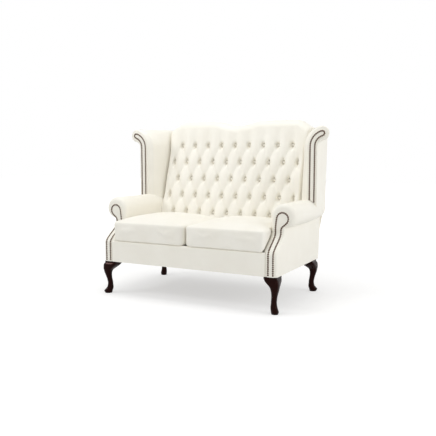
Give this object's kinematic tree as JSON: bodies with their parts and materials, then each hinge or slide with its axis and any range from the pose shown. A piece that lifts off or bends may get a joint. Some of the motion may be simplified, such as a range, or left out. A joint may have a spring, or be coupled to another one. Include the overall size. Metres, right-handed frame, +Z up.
{
  "type": "high back settee",
  "caption": "High back settee in pale leather with a deep-buttoned serpentine back, scrolled wings and arms with nailed facings, loose seat cushions and dark cabriole legs.",
  "frame": {"origin": "on the floor, at the middle of the settee's box seen from above", "axes": "+X along the seat towards the sitter's left, +Y to the back, +Z up"},
  "size_m": [1.3644, 0.8034, 1.054],
  "materials": {
    "leather": "satin",
    "cushion_leather": "satin",
    "dark_wood": "gloss",
    "frame_timber": "plain",
    "nail": "antique",
    "steel": "plain",
    "lining": "woven",
    "webbing": "woven"
  },
  "bodies": {
    "settee": {"leg_front_left": "dark_wood", "leg_bolt_front_left": "steel", "leg_front_right": "dark_wood", "leg_bolt_front_right": "steel", "leg_rear_left": "dark_wood", "leg_bolt_rear_left": "steel", "leg_rear_right": "dark_wood", "leg_bolt_rear_right": "steel", "front_rail": "frame_timber", "back_rail": "frame_timber", "side_rail_right": "frame_timber", "side_rail_left": "frame_timber", "centre_rail": "frame_timber", "corner_block_front_right": "frame_timber", "corner_block_front_left": "frame_timber", "corner_block_rear_right": "frame_timber", "corner_block_rear_left": "frame_timber", "arm_stump_right": "frame_timber", "arm_stump_left": "frame_timber", "arm_rail_right": "frame_timber", "arm_rail_left": "frame_timber", "back_post_right": "frame_timber", "back_post_left": "frame_timber", "arm_pad_right": "leather", "arm_pad_left": "leather", "side_panel_right": "leather", "side_panel_left": "leather", "arm_facing_right": "leather", "arm_facing_left": "leather", "arm_nail_strip_right": "nail", "arm_nail_strip_left": "nail", "wing_pad_right": "leather", "wing_pad_left": "leather", "wing_post_right": "frame_timber", "wing_post_left": "frame_timber", "wing_top_rail_right": "frame_timber", "wing_top_rail_left": "frame_timber", "wing_outer_panel_right": "leather", "wing_outer_panel_left": "leather", "wing_facing_right": "leather", "wing_facing_left": "leather", "wing_nail_strip_right": "nail", "wing_nail_strip_left": "nail", "back_pad": "leather", "back_outer_panel": "leather", "back_top_rail": "frame_timber", "back_lower_rail": "frame_timber", "back_stile": "frame_timber", "back_webbing": "webbing", "front_border": "leather", "seat_deck": "lining", "seat_spring_1": "steel", "seat_spring_2": "steel", "seat_spring_3": "steel", "seat_spring_4": "steel", "seat_spring_5": "steel", "dust_cover": "lining"},
    "left_seat_cushion": {"seat_cushion_left": "cushion_leather"},
    "right_seat_cushion": {"seat_cushion_right": "cushion_leather"}
  },
  "joints": [
    {"name": "left_cushion_lift", "type": "slide", "parent": "settee", "child": "left_seat_cushion", "axis": [0, 0, 1], "range_m": [0, 0.3]},
    {"name": "right_cushion_lift", "type": "slide", "parent": "settee", "child": "right_seat_cushion", "axis": [0, 0, 1], "range_m": [0, 0.3]}
  ]
}
